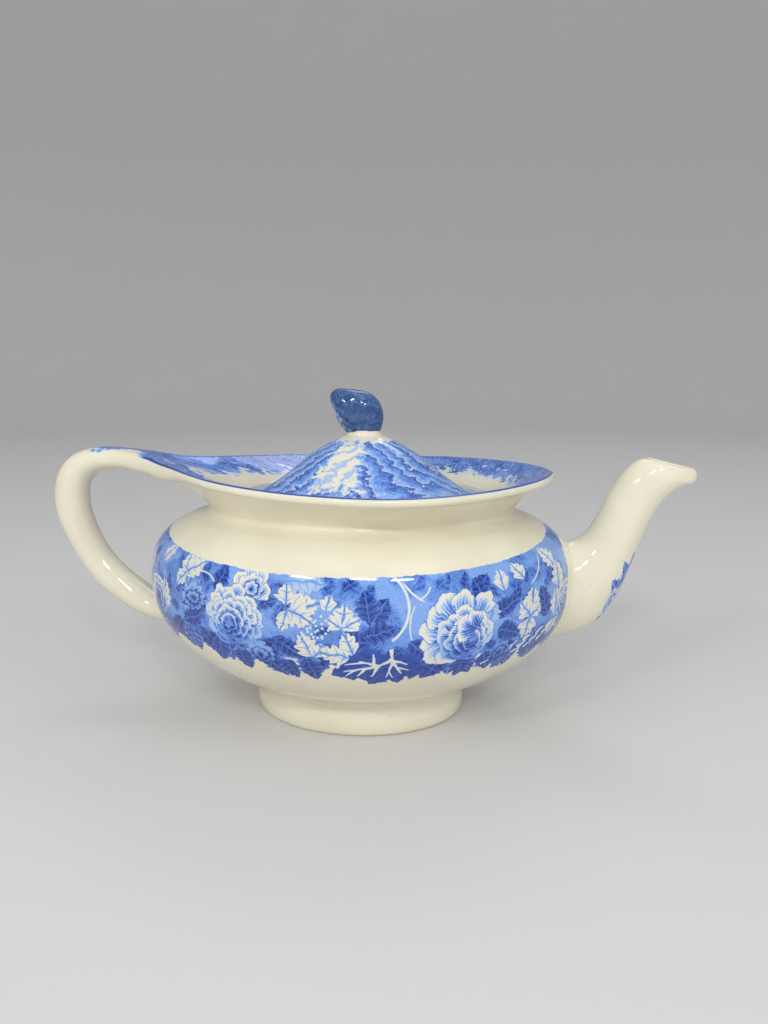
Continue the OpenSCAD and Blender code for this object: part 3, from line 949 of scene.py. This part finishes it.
even = np.linspace(0, math.tau, 256, endpoint=False)
foot = FOOT_EDGE - 1.9  # half length of the foot's outer side, which flares out above
foot_profile = smooth([
    (foot - 5, 16), (foot - 5, 6), (foot - 4.6, 1.8), (foot - 3.4, 0.25), (foot - 1.7, 0.25),
    (foot - 0.4, 1.5), (foot + 0.2, 3.6), (foot + 0.3, 6.4), (foot - 0.3, 8.2), (foot - 0.5, 10.4),
    (foot - 0.1, 13), (foot + 1.2, 15.2), (foot + 4.2, 17.4)], 6)
build("foot", [(turned(foot_profile, even), True, {})],
      "pot", ["foot_ring"], plain_glaze)


# ------------------------ spout

SPOUT_SIDES = 72
SIDE_ANGLE = np.linspace(0, math.tau, SPOUT_SIDES, endpoint=False)
SPOUT_WALL = 2.6


def spout_ring(station, inset=0.0, beak=0.0):
    """A cross-section: [back x, back z, front x, front z, half width, hug, stand-off]. With hug
    at 1 the section lies on the bowl's wall, moved out by the stand-off."""
    bx, bz, fx, fz, width, hug, off = station
    up = np.sin(SIDE_ANGLE)
    half = np.array([(bx - fx) / 2, (bz - fz) / 2])
    half *= 1 - inset / np.linalg.norm(half)
    x = (bx + fx) / 2 + half[0] * up
    z = (bz + fz) / 2 + half[1] * up
    y = (width - inset) * np.cos(SIDE_ANGLE) * (1 + beak * up)
    on_wall = wall_x(y, z) + off
    return np.column_stack([x + hug * (on_wall - x), y, z])


# [back x, back z, front x, front z, half width, hug, stand-off]
spout_path = [
    (86, 81.0, 80, 31.6, 18.4, 1, -0.9), (87, 79.6, 81, 32.9, 17.2, 1, 0.5),
    (88.2, 78.4, 84.4, 34.2, 16.2, 0.85, 1.6), (90.2, 77.9, 94.2, 37.6, 15.2, 0.25, 2.0),
    (93.4, 79.2, 102.8, 44.0, 13.6, 0, 0), (97.3, 82.9, 110.6, 56.4, 12.0, 0, 0),
    (101, 89.5, 116.8, 73.4, 10.7, 0, 0), (104, 96.4, 121.6, 86.6, 9.9, 0, 0),
    (107.6, 103.6, 125.3, 94.2, 9.3, 0, 0), (110.9, 108.4, 128.8, 98.6, 8.9, 0, 0),
    (114.2, 111.6, 133.2, 101.8, 8.5, 0, 0), (116.4, 112.8, 136.4, 102.8, 8.0, 0, 0),
    (117.9, 113.2, 138.3, 103.9, 7.5, 0, 0), (119.2, 113.3, 139.2, 105.6, 7.2, 0, 0)]
spout = smooth(spout_path, 7)
spout[:, 5] = np.clip(spout[:, 5], 0, 1)
beaks = np.interp(np.arange(len(spout)), [0, len(spout) - 22, len(spout) - 1], [0, 0, 0.34])
outside = [spout_ring(s, 0, b) for s, b in zip(spout, beaks)]
inside = [spout_ring(s, SPOUT_WALL, b) for s, b in zip(spout, beaks)]
tip = spout[-1]
lip_rings = []
towards_beak = (1 - np.sin(SIDE_ANGLE)) / 2
lip_rise = 0.9 + 2.4 * towards_beak ** 2
for k in range(1, 6):
    a = math.pi * k / 6
    ring = spout_ring(tip, SPOUT_WALL / 2 * (1 - math.cos(a)), beaks[-1])
    ring[:, 2] += math.sin(a) * lip_rise
    lip_rings.append(ring)
spout_rows = np.array(outside + lip_rings + inside[::-1])
centre = np.array([ring.mean(0) for ring in outside])
walked = np.concatenate([[0], np.cumsum(np.linalg.norm(np.diff(centre, axis=0), axis=1))])
from_front = np.where(SIDE_ANGLE < math.pi / 2, SIDE_ANGLE + math.tau, SIDE_ANGLE) - 1.5 * math.pi
girth = np.array([(s[4] + np.hypot(s[0] - s[2], s[1] - s[3]) / 2) / 2 for s in spout])
# the lip and the bore lie far from the flower in these, so they stay bare
spout_u = np.full((len(spout_rows), SPOUT_SIDES), -80.0)
spout_v = np.full((len(spout_rows), SPOUT_SIDES), 80.0)
spout_u[:len(outside)] = walked[:, None]
spout_v[:len(outside)] = girth[:, None] * from_front
build("swan_neck_spout", [(spout_rows, True, {"along_spout": spout_u, "round_spout": spout_v})],
      "pot", ["spout"], spout_glaze)


# ------------------------ lid

# Profiles are [half length, height]; edge_gap fits them to the lid's length in the frame.
DOME = [
    (49.2, 96.5), (44.4, 97.7), (38.4, 101.1), (32.7, 105.3), (27.3, 109.8), (22.8, 113.4),
    (14.9, 117.9), (9.4, 120.6)]
edge_gap = LID_EDGE - 50.5
dome_side = smooth([(50.0, 94.1), (50.6, 94.9), (50.3, 95.9)] + DOME, 7) + [edge_gap, 0]
crown = smooth([(9.4, 120.6), (8.0, 121.1), (7.2, 121.9), (7.0, 122.8), (6.6, 123.3)], 4)
crown = np.concatenate([crown + [edge_gap, 0], [[0.02, 123.3]]])
hollow = smooth([
    (50.0, 94.1), (40, 94.1), (36, 96.2), (30, 102), (22, 108.6), (12, 114.4), (0.02, 117.2)], 6)
build("lid_shell", [
    (turned(dome_side, even, LID_X), True, {}),
    (turned(hollow, even, LID_X), True, {}),
], "lid", ["lid_dome"], lid_glaze)
build("knob_collar_ring", [
    (turned(crown, even, LID_X), True, {}),
], "lid", ["knob_collar"], plain_glaze)
RING_OUT = MOUTH - 1.5  # the ring under the lid, loose in the mouth
ring_profile = smooth([
    (RING_OUT, SEAT_Z + 0.6), (RING_OUT, SEAT_Z - 4), (RING_OUT - 0.4, SEAT_Z - 7.4),
    (RING_OUT - 1.6, SEAT_Z - 8), (RING_OUT - 2.8, SEAT_Z - 7.2), (RING_OUT - 3.6, SEAT_Z + 0.6)], 5)
build("lid_locating_ring", [(turned(ring_profile, even, LID_X), True, {})],
      "lid", ["lid_ring"], plain_glaze)

# [left x, left z, right x, right z, half depth]
knob_path = [
    (-4.2, 121.4, 8.7, 121.4, 4.4), (-5.3, 122.6, 9.7, 123.4, 5.0), (-7.9, 125.8, 10.8, 127.4, 6.0),
    (-9.8, 129.4, 10.6, 131.6, 6.4), (-11.2, 133.0, 8.7, 135.8, 6.0), (-11.9, 136.2, 4.8, 139.0, 4.8),
    (-11.7, 138.4, -0.6, 140.3, 3.2), (-10.3, 140.0, -5.6, 140.7, 1.3),
    (-8.8, 140.6, -8.0, 140.7, 0.1)]
knob_rows = []
a = np.linspace(0, math.tau, 48, endpoint=False)
for lx, lz, rx, rz, deep in smooth(knob_path, 6):
    x = (lx + rx) / 2 + (rx - lx) / 2 * np.cos(a)
    z = (lz + rz) / 2 + (rz - lz) / 2 * np.cos(a)
    # shallow grooves run from root to tip, like the veins of a bud
    y = deep * (1 + 0.05 * np.cos(6 * a)) * np.sin(a)
    knob_rows.append(np.column_stack([x, y, z]))
build("leaf_knob", [(np.array(knob_rows), True, {})], "lid", ["lid_knob"], knob_glaze)


# ------------------------ table, light and camera

def sweep():
    """Pale round floor that curves up into a wall all the way round."""
    flat, bend, top, sides, bend_steps = 1.6, 0.9, 3.2, 96, 16
    line = [(0.001, 0.0), (flat * 0.5, 0.0), (flat, 0.0)]
    for k in range(1, bend_steps + 1):
        a = math.pi / 2 * k / bend_steps
        line.append((flat + bend * math.sin(a), bend * (1 - math.cos(a))))
    line.append((flat + bend, top))
    turn = np.linspace(0, math.tau, sides, endpoint=False)
    points = [(r * math.cos(a), r * math.sin(a), z) for r, z in line for a in turn]
    mesh = bpy.data.meshes.new("sweep")
    mesh.from_pydata(points, [], grid_faces(0, len(line), sides))
    mesh.polygons.foreach_set("use_smooth", [True] * len(mesh.polygons))
    material = bpy.data.materials.new("pale_floor")
    material.use_nodes = True
    shader = material.node_tree.nodes["Principled BSDF"]
    feed(shader.inputs["Base Color"], (0.66, 0.655, 0.65, 1))
    feed(shader.inputs["Roughness"], 0.8)
    mesh.materials.append(material)
    added("sweep", mesh)


def soft_light(name, where, aim, size, power, colour=(1, 1, 1), mirrored=True):
    """An area light; when not mirrored, the glaze shows no reflection of it."""
    lamp = bpy.data.lights.new(name, "AREA")
    lamp.shape = "RECTANGLE"
    lamp.size, lamp.size_y = size
    lamp.energy = power
    lamp.color = colour
    thing = added(name, lamp)
    thing.location = where
    thing.rotation_euler = (Vector(aim) - Vector(where)).to_track_quat("-Z", "Y").to_euler()
    thing.visible_glossy = mirrored


def studio():
    """Pale sky, three small lamps that show in the glaze, large soft ones that don't show, and
    one from behind."""
    world = bpy.data.worlds.new("studio")
    bpy.context.scene.world = world
    world.use_nodes = True
    sky = world.node_tree.nodes["Background"].inputs
    feed(sky["Color"], (0.95, 0.97, 1.0, 1))
    feed(sky["Strength"], 0.74)
    bpy.context.scene.view_settings.view_transform = "Standard"
    pot = (0, 0, 0.06)
    for x in (-0.40, 0.06, 0.36):
        soft_light("tube", (x, -0.86, 0.70), pot, (0.17, 0.05), 1.4)
    soft_light("front_left", (-0.75, -0.85, 0.75), pot, (0.6, 0.6), 2.8, (1.0, 0.98, 0.95), False)
    soft_light("right_side", (0.95, -0.35, 0.65), pot, (0.4, 0.5), 2.0, (0.95, 0.97, 1.0), False)
    soft_light("fill", (0.2, -1.3, 0.42), pot, (1.0, 0.7), 4.4, (1.0, 0.99, 0.97), False)
    soft_light("behind", (0.1, 1.0, 1.5), (0, 0, 0.08), (0.9, 0.4), 2.5)


# The camera fitted to the photograph: its place in mm, and its turn left and down in degrees.
EYE = (55.7, -317.3, 150.4)
PAN, TILT = 8.0, 11.03
LENS, SENSOR = 26.5, 36.0  # mm; the sensor's size is that of the picture's taller side


def camera():
    """A phone's lens, right of the pot's middle and a little above it, as in the photograph."""
    lens = bpy.data.cameras.new("view")
    lens.sensor_fit = "AUTO"
    lens.sensor_width = SENSOR
    lens.lens = LENS
    lens.clip_start = 0.01
    eye = added("view", lens)
    pan, tilt = math.radians(PAN), math.radians(TILT)
    eye.location = Vector(EYE) * MM
    ahead = Vector((-math.sin(pan) * math.cos(tilt), math.cos(pan) * math.cos(tilt), -math.sin(tilt)))
    eye.rotation_euler = ahead.to_track_quat("-Z", "Y").to_euler()
    bpy.context.scene.camera = eye


sweep()
studio()
camera()
